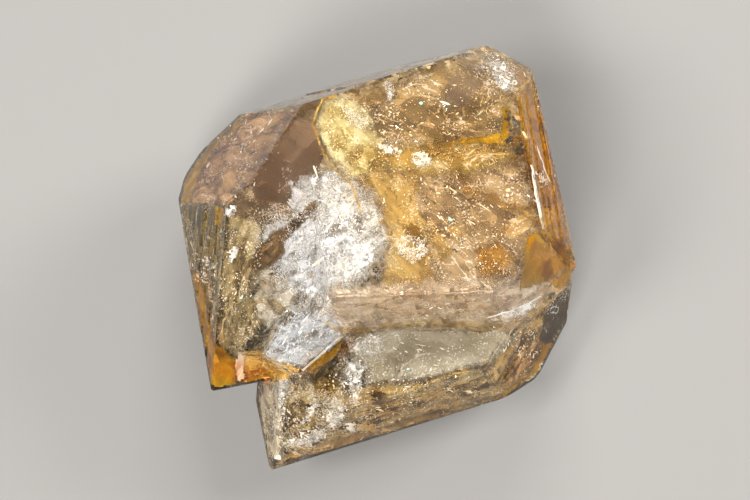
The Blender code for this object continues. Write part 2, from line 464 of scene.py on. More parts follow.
def crack_lines(tree, where, size_mm, offset, height):
    """Thin wandering lines, as small cracks seen edge on, broken off here and there: 0 beside them. Where
    they are added to a tone they are painted highlights.
    """
    scale = 1 / (size_mm * MM)
    moved = add_node(tree, "ShaderNodeVectorMath", {0: where, 1: (offset,) * 3}, operation="ADD").outputs[0]
    swirl = {"Vector": moved, "Scale": 0.6 * scale, "Detail": 4.0, "Distortion": 0.6}
    away = {0: add_node(tree, "ShaderNodeTexNoise", swirl).outputs["Fac"], 1: 0.5}
    away = add_node(tree, "ShaderNodeMath", away, operation="SUBTRACT").outputs[0]
    away = add_node(tree, "ShaderNodeMath", {0: away}, operation="ABSOLUTE").outputs[0]
    edge = {"Value": away, "From Min": 0.0, "From Max": 0.022, "To Min": height, "To Max": 0.0}
    line = add_node(tree, "ShaderNodeMapRange", edge, interpolation_type="SMOOTHSTEP").outputs["Result"]
    return in_patches(tree, line, where, 0.45 * scale, 2.0, 0.42, 0.6)


# Painted glints: bright points drawn into the films' colour, as of tiny bubbles that catch the light.
PINS = 3200.0  # pin points in a metre, so one in about 0.3 mm
PIN_CLOUDS = 260.0  # clouds of pin points in a metre, so one in about 4 mm


def painted_glint_points(tree, height):
    """Painted glints: tiny bright points, as of bubbles that catch the light, strewn in clouds: height on one
    and 0 beside it.
    """
    where = tree.nodes.new("ShaderNodeTexCoord").outputs["Object"]
    grain = add_node(tree, "ShaderNodeTexNoise", {"Vector": where, "Scale": PINS, "Detail": 1.0})
    edge = {"Value": grain.outputs["Fac"], "From Min": 0.58, "From Max": 0.67, "To Max": height}
    point = add_node(tree, "ShaderNodeMapRange", edge, interpolation_type="SMOOTHSTEP").outputs["Result"]
    return in_patches(tree, point, where, PIN_CLOUDS, 3.0, 0.4, 0.65)


def film_material(
    name, dark, light, grain_mm, run=None, stretch=1.0, cell_mm=2.5, lean=0.3, roughness=0.3,
    metallic=0.0, opacity=1.0, stain=False, lines=0.3,
):
    """A thin film in the quartz: cloudy streaks from dark to light, in cells that shine their own way.

    grain_mm is the size of the clouds and cell_mm that of the cells. Both are drawn out along run,
    stretch times. lean is how far the cells' normals lean, and lines how bright the fine lines and the
    painted glint points are; the bright lines and the points are painted highlights.
    """
    material, tree = new_material(name)
    where = tree.nodes.new("ShaderNodeTexCoord").outputs["Object"]
    if run is not None:
        turn = run.to_track_quat("X", "Z").to_euler()
        drawn = {"Vector": where, "Rotation": turn, "Scale": (stretch, 1, 1)}
        where = add_node(tree, "ShaderNodeMapping", drawn, vector_type="TEXTURE").outputs[0]
    tone, normal = broken(tree, where, cell_mm, lean)
    puffs = {"Scale": 1 / (grain_mm * MM), "Detail": 6.0, "Roughness": 0.56, "Distortion": 0.8}
    cloud = add_node(tree, "ShaderNodeTexNoise", {"Vector": where, **puffs}).outputs["Fac"]
    blend = {"Factor": 0.2 if lean else 0.0, 2: cloud, 3: tone}
    tone = add_node(tree, "ShaderNodeMix", blend, data_type="FLOAT").outputs[0]
    if lines:
        for operation, drawing in (
            ("ADD", crack_lines(tree, where, cell_mm, 0.0, lines)),
            ("SUBTRACT", crack_lines(tree, where, cell_mm * 1.3, 0.02, lines * 0.35)),
            ("ADD", painted_glint_points(tree, lines * 2.0)),
        ):
            tone = add_node(tree, "ShaderNodeMath", {0: tone, 1: drawing}, operation=operation).outputs[0]
    ramp = add_node(tree, "ShaderNodeValToRGB", {"Fac": tone})
    stops = ramp.color_ramp.elements
    stops[0].position, stops[0].color = 0.34, linear(dark)
    stops[1].position, stops[1].color = 0.68, linear(light)
    # The near-white top stop is a painted highlight colour, which the bright lines and the painted glint
    # points reach.
    stops.new(0.95).color = [0.35 * c + 0.65 for c in linear(light)]
    colour = stained(tree, ramp.outputs["Color"]) if stain else ramp.outputs["Color"]
    face = {"Base Color": colour, "Normal": normal, "Roughness": roughness, "Metallic": metallic, "IOR": 1.15}
    shader = add_node(tree, "ShaderNodeBsdfPrincipled", face)
    if opacity < 1:
        soft_alpha(tree, shader, opacity)
    add_node(tree, "ShaderNodeOutputMaterial", {"Surface": shader.outputs[0]})
    return material


def image_run(dx, dy):
    """The direction in the crystal that an image direction, right and down, stands for."""
    return (camera.rotation_quaternion @ Vector((dx, -dy, 0))).normalized()


def platelet_tree():
    """Node tree that strews flat four-sided flakes over a sheet, in clouds, each with a random tone."""
    tree = bpy.data.node_groups.new("platelets_on_sheet", "GeometryNodeTree")
    for name, kind in (
        ("Geometry", "Geometry"),
        ("Per Area", "Float"),
        ("Size", "Float"),
        ("Tilt", "Float"),
        ("Turn", "Float"),
        ("Cloud Scale", "Float"),
        ("Cloud Gaps", "Float"),
        ("Seed", "Int"),
        ("Material", "Material"),
    ):
        tree.interface.new_socket(name, in_out="INPUT", socket_type="NodeSocket" + kind)
    tree.interface.new_socket("Geometry", in_out="OUTPUT", socket_type="NodeSocketGeometry")
    given = tree.nodes.new("NodeGroupInput").outputs
    puffs = {"Scale": given["Cloud Scale"], "Detail": 6.0, "Roughness": 0.65, "Distortion": 1.2}
    cloud = add_node(tree, "ShaderNodeTexNoise", puffs).outputs[0]
    fullest = add_node(tree, "ShaderNodeMath", {0: given["Cloud Gaps"], 1: 0.18}, operation="ADD").outputs[0]
    edge = {"Value": cloud, "From Min": given["Cloud Gaps"], "From Max": fullest, "To Max": given["Per Area"]}
    density = add_node(tree, "ShaderNodeMapRange", edge, interpolation_type="SMOOTHSTEP").outputs["Result"]
    spread = {"Mesh": given["Geometry"], "Density": density, "Seed": given["Seed"]}
    points = add_node(tree, "GeometryNodeDistributePointsOnFaces", spread).outputs
    flat_cone = {"Vertices": 4, "Radius Top": 0.0, "Radius Bottom": 1.0, "Depth": 0.15}
    flake = add_node(tree, "GeometryNodeMeshCone", flat_cone, fill_type="NGON").outputs["Mesh"]
    sizes = {"Min": (0.5, 0.1, 0.6), "Max": (2.3, 0.4, 1.2), "Seed": given["Seed"]}
    stretch = add_node(tree, "FunctionNodeRandomValue", sizes, data_type="FLOAT_VECTOR").outputs["Value"]
    size = {0: stretch, "Scale": given["Size"]}
    size = add_node(tree, "ShaderNodeVectorMath", size, operation="SCALE").outputs["Vector"]
    placed = {"Points": points["Points"], "Instance": flake, "Rotation": points["Rotation"], "Scale": size}
    flakes = add_node(tree, "GeometryNodeInstanceOnPoints", placed).outputs["Instances"]
    leans = {"Min": (-1.0, -1.0, -0.6), "Max": (1.0, 1.0, 0.6)}
    lean = add_node(tree, "FunctionNodeRandomValue", leans, data_type="FLOAT_VECTOR").outputs["Value"]
    most = {"X": given["Tilt"], "Y": given["Tilt"], "Z": 1.0}
    most = add_node(tree, "ShaderNodeCombineXYZ", most).outputs[0]
    lean = add_node(tree, "ShaderNodeVectorMath", {0: lean, 1: most}, operation="MULTIPLY").outputs[0]
    aimed = add_node(tree, "ShaderNodeCombineXYZ", {"Z": given["Turn"]}).outputs[0]
    lean = add_node(tree, "ShaderNodeVectorMath", {0: lean, 1: aimed}, operation="ADD").outputs["Vector"]
    turned = add_node(tree, "GeometryNodeRotateInstances", {"Instances": flakes, "Rotation": lean}).outputs[0]
    tone = add_node(tree, "FunctionNodeRandomValue", data_type="FLOAT").outputs[1]
    toned = {"Geometry": turned, "Name": "tone", "Value": tone}
    toned = add_node(tree, "GeometryNodeStoreNamedAttribute", toned, data_type="FLOAT", domain="INSTANCE")
    real = add_node(tree, "GeometryNodeRealizeInstances", {"Geometry": toned.outputs["Geometry"]})
    dress = {"Geometry": real.outputs["Geometry"], "Material": given["Material"]}
    dressed = add_node(tree, "GeometryNodeSetMaterial", dress)
    add_node(tree, "NodeGroupOutput", {"Geometry": dressed.outputs["Geometry"]})
    return tree


platelets = platelet_tree()


def strew(name, sheets, material, per_mm2, size, tilt, seed, cloud_mm, gaps, run):
    """Turns sheets into one piece made of platelets, as a plain mesh that rides on the crystal.

    size is in mm, cloud_mm the size of their clouds, gaps how far those lie apart, and run the
    image direction that the platelets point in.
    """
    carrier = new_object(name + "_carrier", *joined(sheets)[:2], material)
    modifier = carrier.modifiers.new("platelets", "NODES")
    modifier.node_group = platelets
    sockets = {s.name: s.identifier for s in platelets.interface.items_tree if s.in_out == "INPUT"}
    blades = image_run(*run)
    for key, value in (
        ("Turn", math.atan2(blades.y, blades.x)),
        ("Per Area", per_mm2 / MM**2),
        ("Size", size * MM),
        ("Tilt", tilt),
        ("Cloud Scale", 1 / (cloud_mm * MM)),
        ("Cloud Gaps", gaps),
        ("Seed", seed),
        ("Material", material),
    ):
        modifier[sockets[key]] = value
    seen = carrier.evaluated_get(bpy.context.evaluated_depsgraph_get())
    piece = bpy.data.objects.new(name, bpy.data.meshes.new_from_object(seen))
    bpy.context.scene.collection.objects.link(piece)
    bpy.data.objects.remove(carrier)
    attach(piece, "root")


def flake_material(name, dark, light, roughness, specks="#FFFFFF", stain=True):
    """Platelets: their tone runs from dark to light, and the lightest have the colour of the specks."""
    material, tree = new_material(name)
    tone = add_node(tree, "ShaderNodeAttribute", attribute_name="tone").outputs["Fac"]
    ramp = add_node(tree, "ShaderNodeValToRGB", {"Fac": tone})
    stops = ramp.color_ramp.elements
    stops[0].color = linear(dark)
    stops[1].color = linear(light)
    stops[1].position = 0.85
    stops.new(1.0).color = linear(specks)
    colour = stained(tree, ramp.outputs["Color"]) if stain else ramp.outputs["Color"]
    face = {"Base Color": colour, "Roughness": roughness, "IOR": 1.6}
    shader = add_node(tree, "ShaderNodeBsdfPrincipled", face)
    add_node(tree, "ShaderNodeOutputMaterial", {"Surface": shader.outputs[0]})
    return material


# Deep cracks that cross the whole crystal: middle in mm, normal, radius, swell and gaps.
DEEP_CRACKS = [
    ((0, 0, 11), (0.12, -0.08, 1), 48, 6.0, WHOLE),
    ((2, 4, 19), (-0.16, 0.05, 1), 44, 6.0, -0.3),
    ((4, -2, 26), (0.1, 0.12, 1), 40, 5.0, -0.1),
]
deep = film_material(
    "deep_crack_faces", "#B89C6C", "#FCF4E2", 4.0, image_run(1, 0.6), 1.8, 3.0, 0.35, 0.25, 0.15, stain=True
)
cloudy = film_material(
    "cloudy_crack_faces", "#A98C58", "#F8ECD2", 3.0, image_run(1, 0.7), 2.5, 2.0, 0.4, 0.2, 0.2,
    opacity=0.75, stain=True,
)
for n, (middle, normal, radius, swell, gaps) in enumerate(DEEP_CRACKS):
    sheet = crumpled_sheet(Vector(middle), Vector(normal).normalized(), radius, swell, 3 + n, 0.6, 0.7, gaps)
    film(f"deep_crack_{n}", [sheet], cloudy if n == 2 else deep)

# Cracks that run close under the slanting faces round the rim: the image point of their
# middle, its depth and their radius in mm, and how their normal leans from the face's.
RIM_CRACKS = [
    (200, 270, 3.0, 18, (0.0, 0.0, 0.1)),
    (500, 68, 2.5, 8, (0.0, 0.1, 0.0)),
    (548, 190, 2.5, 18, (0.0, 0.1, 0.0)),
    (558, 320, 3.5, 12, (0.0, 0.0, 0.1)),
    (522, 350, 3.5, 12, (0.0, 0.0, 0.1)),
    (370, 410, 3.5, 20, (0.0, 0.1, 0.0)),
    (270, 420, 2.5, 12, (0.0, 0.0, 0.0)),
    (380, 350, 5.0, 18, (0.1, 0.1, 0.0)),
    (300, 350, 3.0, 10, (0.1, -0.1, 0.0)),
]
rim = film_material(
    "rim_crack_faces", "#7A5C28", "#E8D09A", 2.5, image_run(0.3, 1), 3.0, 1.6, 0.4, 0.2, 0.2, 0.8, stain=True
)
rim_sheets = []
for n, (px, py, depth, radius, lean) in enumerate(RIM_CRACKS):
    place, normal, ray = look_at(px, py)
    turn = (normal + Vector(lean)).normalized()
    rim_sheets.append(crumpled_sheet(place / MM + ray * depth, turn, radius, 2.0, 20 + n, 0.5, 0.5, -0.35))
film("rim_cracks", rim_sheets, rim)

# Cracks close behind the larger side and lower faces.
SIDE_DEPTH = 2.0     # how far behind their face they lie, in mm
SIDE_STEEPEST = 0.2  # a face whose normal points further up than this has none
SIDE_SMALLEST = 6    # a face less broad than this, in mm, has none either
side = film_material(
    "side_crack_faces", "#AC9468", "#FFFCF4", 3.5, None, 1.0, 1.8, 0.55, 0.22, 0.2, 0.8, stain=True, lines=0.2
)
side_sheets = []
for n, (middle, normal, breadth) in enumerate(flats):
    if normal.z < SIDE_STEEPEST and breadth > SIDE_SMALLEST:
        behind = middle - normal * SIDE_DEPTH
        side_sheets.append(crumpled_sheet(behind, normal, 0.7 * breadth, 1.2, 140 + n, 0.7, 0.4, -0.35))
film("side_cracks", side_sheets, side)


# ---------------------------------------------------------------------------
# Haze. Fine platelets of air film, strewn on small sheets all through the
# crystal, so that no part of it is quite clear.
HAZE_SHEETS = 60
rng = random.Random(11)
low, high = [Vector(v) / MM for v in cad_box]
haze_sheets = []
while len(haze_sheets) < HAZE_SHEETS:
    spot = Vector([rng.uniform(low[i], high[i]) for i in range(3)])
    if not is_inside(spot * MM, 1.0 * MM):
        continue
    normal = Vector((rng.gauss(0, 1), rng.gauss(0, 1), rng.gauss(0, 1))).normalized()
    haze_sheets.append(crumpled_sheet(spot, normal, rng.uniform(4, 12), 2.0, len(haze_sheets), 1.2))
haze = flake_material("hazy_platelets", "#C8AA78", "#F4E4C6", 0.25)
strew("haze_platelets", haze_sheets, haze, 3.0, 0.16, 0.5, 3, 5.0, 0.4, (1, 0.7))


# ---------------------------------------------------------------------------
# The milky heart and the white cracks. They are open enough to hold air, and
# its countless small walls shine white, most of all in the small wedged crystal.
MILK = [
    (296, 172), (345, 175), (372, 205), (384, 240), (350, 282), (322, 292), (296, 285), (270, 262),
    (262, 235), (285, 205),
]
WING = [(378, 236), (372, 262), (345, 281), (343, 262), (352, 246), (366, 240)]
KNEE_FROST = [(297, 300), (345, 322), (338, 340), (303, 370), (262, 357), (272, 330)]
LOW_FROST = [
    [(345, 332), (385, 336), (372, 372), (360, 430), (345, 425)],
    [(270, 385), (300, 382), (296, 440), (282, 458), (276, 430)],
    [(318, 395), (340, 392), (338, 430), (320, 440)],
]
# Small cracks: outline, depth and relief in mm, gaps and soft edge in image points.
SMALL_CRACKS = [
    # The first is a bright streak along an edge at the right: a painted highlight of that edge.
    ([(485, 321), (510, 311), (538, 297), (541, 303), (528, 312), (500, 320)], 0.9, 0.3, -0.2, 2.0),
    ([(279, 381), (288, 380), (287, 395), (283, 413), (280, 410)], 1.0, 0.3, 0.05, 2.0),
    ([(315, 398), (318, 405), (311, 418), (300, 426), (308, 411)], 1.0, 0.3, -0.15, 2.5),
    ([(331, 400), (342, 401), (343, 412), (336, 428), (328, 424), (326, 412)], 1.0, 0.3, -0.05, 3.0),
    ([(347, 364), (360, 362), (362, 380), (357, 405), (350, 400), (350, 380)], 1.0, 0.3, -0.05, 3.0),
    ([(350, 339), (380, 337), (383, 350), (362, 355), (350, 352)], 1.0, 0.3, 0.05, 3.0),
    ([(349, 425), (356, 424), (354, 434), (350, 434)], 1.0, 0.2, -0.45, 1.5),
    ([(308, 432), (326, 430), (327, 439), (311, 441)], 1.0, 0.3, 0.1, 2.5),
    ([(288, 439), (312, 438), (312, 446), (291, 448)], 1.0, 0.3, 0.1, 2.5),
    ([(304, 290), (318, 288), (330, 298), (328, 308), (316, 304)], 1.2, 0.3, -0.15, 3.0),
    ([(411, 155), (422, 151), (430, 159), (426, 167), (414, 164)], 1.0, 0.3, -0.35, 2.0),
    ([(374, 143), (388, 144), (402, 150), (398, 156), (384, 153)], 1.0, 0.3, -0.25, 2.0),
    ([(345, 108), (362, 112), (370, 126), (358, 132), (348, 122)], 1.2, 0.3, 0.1, 3.5),
    ([(490, 62), (500, 62), (514, 76), (512, 90), (500, 88), (494, 76)], 0.9, 0.3, 0.1, 3.5),
    ([(382, 78), (390, 79), (394, 97), (388, 100)], 1.0, 0.3, 0.1, 2.5),
    ([(400, 236), (424, 238), (428, 254), (412, 262), (398, 252)], 1.4, 0.3, 0.05, 4.5),
    ([(291, 188), (299, 186), (305, 194), (300, 200), (294, 197)], 1.0, 0.3, -0.45, 2.0),
    ([(225, 208), (236, 206), (235, 213), (228, 217)], 0.9, 0.2, -0.45, 1.7),
    ([(229, 261), (233, 250), (238, 247), (236, 257)], 0.9, 0.2, -0.55, 1.5),
]
# Large cracks: outline, depth, slope, swell and facet, step and grain in image points, gaps and soft edge.
LARGE_CRACKS = [
    (MILK, 2.5, (1, 1), 1.0, 0.5, 1.7, 14.0, -0.1, 12.0),
    (MILK, 4.5, (-2, 1), 1.5, 0.8, 2.0, 14.0, -0.3, 16.0),
    (WING, 1.2, (1, 0), 0.3, 0.3, 1.0, 6.0, -0.55, 2.5),
    (KNEE_FROST, 1.5, (0, 0), 0.8, 0.5, 1.6, 6.0, -0.2, 4.0),
    (LOW_FROST[0], 2.0, (0, 0), 1.0, 0.5, 1.6, 6.0, -0.05, 6.0),
    (LOW_FROST[1], 2.0, (0, 0), 0.8, 0.5, 1.6, 6.0, -0.05, 5.0),
    (LOW_FROST[2], 2.5, (0, 0), 0.8, 0.5, 1.6, 6.0, -0.05, 6.0),
]
milk_face = film_material(
    "milky_crack_faces", "#D8D4CC", "#FFFFFF", 1.4, image_run(1, -1), 2.5, 1.2, 0.35, 0.25, opacity=0.94
)
cracks = []
for n, (outline, depth, relief, gaps, soft) in enumerate(SMALL_CRACKS):
    cracks.append(seen_patch(outline, depth, relief, relief, 1.1, 30 + n, soft, gaps, grain=6.0))
for n, (outline, depth, slope, swell, facet, step, grain, gaps, soft) in enumerate(LARGE_CRACKS):
    cracks.append(seen_patch(outline, depth, swell, facet, step, 49 + n, soft, gaps, slope, grain=grain))
film("milky_cracks", cracks, milk_face, thickness=0.04)

# Clouds of platelets in the white parts: outline, depth in mm and soft edge in image points.
milk = flake_material("milky_platelets", "#E4E0D8", "#FFFFFF", 0.2, stain=False)
cloud_rows = [(MILK, 1.5, 20.0), (MILK, 3.2, 26.0), (MILK, 5.5, 30.0), (KNEE_FROST, 1.2, 8.0)]
cloud_rows += [(outline, depth, 10.0) for outline in LOW_FROST for depth in (1.0, 3.0)]
cloud_rows += [
    ([(262, 150), (300, 160), (285, 215), (250, 240), (235, 215)], 2.5, 10.0),
    ([(395, 255), (440, 250), (460, 285), (420, 300), (390, 290)], 3.0, 12.0),
    ([(365, 190), (410, 180), (430, 220), (400, 235), (375, 225)], 3.0, 10.0),
    ([(480, 50), (500, 52), (520, 75), (500, 90), (478, 75)], 1.0, 5.0),
]
clouded = [seen_patch(o, depth, 1.0, 0.6, 4.0, 44 + n, soft) for n, (o, depth, soft) in enumerate(cloud_rows)]
strew("milky_veil_platelets", clouded, milk, 20.0, 0.12, 0.8, 5, 5.0, 0.42, (1, -1))
lace = [seen_patch(outline, 0.8, 0.3, 0.2, 3.0, 70 + n, 3.0) for n, (outline, *_) in enumerate(SMALL_CRACKS)]
strew("bright_lace_platelets", lace, milk, 80.0, 0.11, 0.9, 6, 1.5, 0.38, (0.4, -1))


# ---------------------------------------------------------------------------
# Shards of thick air film. Small cracks that gape widest, just under the faces. Their flat near-white
# colour is painted highlight: the brightest glints of the crystal. Each has its outline and its gaps.
GLINT_SHARDS = [
    ([(279, 381), (286, 379), (287, 396), (284, 415), (280, 411), (278, 395)], 0.0),
    ([(314, 397), (317, 403), (311, 414), (303, 422), (309, 408)], 0.05),
    ([(330, 402), (338, 399), (345, 408), (343, 420), (334, 429), (327, 420)], 0.0),
    ([(348, 363), (360, 360), (366, 366), (358, 384), (357, 400), (350, 396)], 0.0),
    ([(350, 338), (372, 334), (382, 342), (376, 352), (356, 352)], 0.1),
    ([(346, 424), (355, 423), (353, 435), (348, 434)], -0.2),
    ([(300, 432), (326, 430), (325, 440), (304, 443)], 0.2),
    ([(288, 440), (298, 438), (312, 442), (300, 448)], 0.1),
    ([(492, 58), (500, 56), (505, 66), (500, 74), (494, 68)], 0.0),
    ([(500, 74), (514, 72), (516, 84), (506, 90), (500, 84)], 0.05),
    ([(374, 143), (388, 144), (402, 150), (398, 156), (384, 153)], 0.05),
    ([(412, 155), (422, 151), (430, 158), (427, 166), (416, 164)], -0.2),
    ([(384, 76), (390, 80), (393, 92), (387, 96)], 0.1),
    ([(378, 238), (371, 262), (347, 280), (345, 264), (356, 248)], -0.1),
    ([(302, 288), (314, 286), (328, 296), (330, 308), (316, 300)], 0.0),
    ([(330, 210), (352, 200), (366, 214), (352, 232), (334, 228)], 0.15),
    ([(306, 176), (322, 164), (338, 176), (326, 190), (310, 190)], 0.2),
    ([(228, 252), (236, 246), (237, 256), (231, 262)], -0.2),
    ([(225, 207), (236, 206), (234, 214), (228, 216)], -0.1),
    ([(400, 236), (420, 238), (428, 252), (412, 260), (400, 252)], 0.25),
    ([(506, 188), (513, 187), (514, 196), (507, 196)], 0.0),
    ([(500, 316), (524, 306), (538, 298), (540, 303), (520, 314)], 0.0),
]
glint_shard_film = film_material(
    "thick_air_film_painted_glints", "#F4F2EE", "#FFFFFF", 1.0, lean=0.4, cell_mm=0.8, roughness=0.2, lines=0.0
)
shards = [
    seen_patch(outline, 0.6, 0.2, 0.2, 0.9, 170 + n, 1.5, gaps, feather=0.12, grain=5.0)
    for n, (outline, gaps) in enumerate(GLINT_SHARDS)
]
film("air_film_shards_painted_glints", shards, glint_shard_film, thickness=0.03)


# ---------------------------------------------------------------------------
# Glints. Tiny flat air films that lie just right for the light, as small bright
# mirrors: image point, spread in image points and count.
GLINTS = [
    (292, 382, 12, 40), (352, 380, 28, 90), (330, 415, 14, 50), (420, 157, 8, 25), (488, 62, 12, 40),
    (508, 80, 12, 40), (535, 195, 8, 25), (445, 105, 8, 20), (400, 130, 20, 30), (360, 200, 30, 120),
    (330, 240, 34, 200), (300, 330, 30, 90), (250, 130, 20, 30), (225, 150, 16, 20), (540, 110, 10, 20),
    (500, 310, 20, 40), (450, 180, 50, 60), (420, 250, 50, 60), (460, 110, 60, 60), (390, 370, 50, 60),
    (520, 355, 20, 30), (200, 280, 14, 30), (230, 300, 20, 40), (430, 400, 50, 50),
]
GLINT_HALF = 0.03  # half thickness of a glint at its middle, in mm


def strewn(rows, pick):
    """What look_at gives at random image points round each row's, and the rest of that row."""
    for px, py, spread, count, *rest in rows:
        for _ in range(count):
            hit = look_at(pick.gauss(px, spread * 0.5), pick.gauss(py, spread * 0.5))
            if hit is not None:
                yield *hit, *rest


def glint_mesh(rows, seed):
    """Thin four-sided flakes strewn under image points."""
    pick = random.Random(seed)
    verts, faces = [], []
    for place, _, ray in strewn(rows, pick):
        middle = place + ray * pick.uniform(0.6, 6.0) * MM
        length, breadth = pick.uniform(0.15, 0.7) * MM, pick.uniform(0.08, 0.25) * MM
        if not is_inside(middle, length):
            continue
        lean = Vector((pick.gauss(0, 0.4), pick.gauss(0, 0.4), pick.gauss(0, 0.4)))
        lean = (BACK + 0.9 * lean).normalized()
        side = lean.orthogonal().normalized()
        turn = Matrix.Rotation(pick.uniform(0, math.tau), 3, lean)
        side, across = turn @ side, turn @ lean.cross(side)
        first = len(verts)
        ring = [side * length, across * breadth, -side * length * pick.uniform(0.4, 1), -across * breadth]
        verts += [middle + v for v in ring]
        verts += [middle + lean * GLINT_HALF * MM, middle - lean * GLINT_HALF * MM]
        for n in range(4):
            faces.append((first + n, first + (n + 1) % 4, first + 4))
            faces.append((first + (n + 1) % 4, first + n, first + 5))
    return verts, faces


mirror, tree = new_material("air_film_glints")
bright_face = {"Base Color": linear("#FFFFFF"), "Metallic": 0.9, "Roughness": 0.12}
shader = add_node(tree, "ShaderNodeBsdfPrincipled", bright_face)
add_node(tree, "ShaderNodeOutputMaterial", {"Surface": shader.outputs[0]})
glints = new_object("air_film_glints", *glint_mesh(GLINTS, 4), mirror)
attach(glints, "root")


# ---------------------------------------------------------------------------
# Smooth veils. Sheets of fluid bubbles too fine to see, each with its own tint: smoky brown, grey, rose,
# honey. They lie flat and close below the faces. The near-black one under the narrow top face is
# painted shade.
BROWN_BAND = [
    (318, 199), (306, 206), (296, 217), (284, 227), (274, 233), (262, 244), (252, 256), (247, 268),
    (262, 270), (278, 262), (284, 250), (284, 240), (294, 232), (304, 222), (314, 212),
]
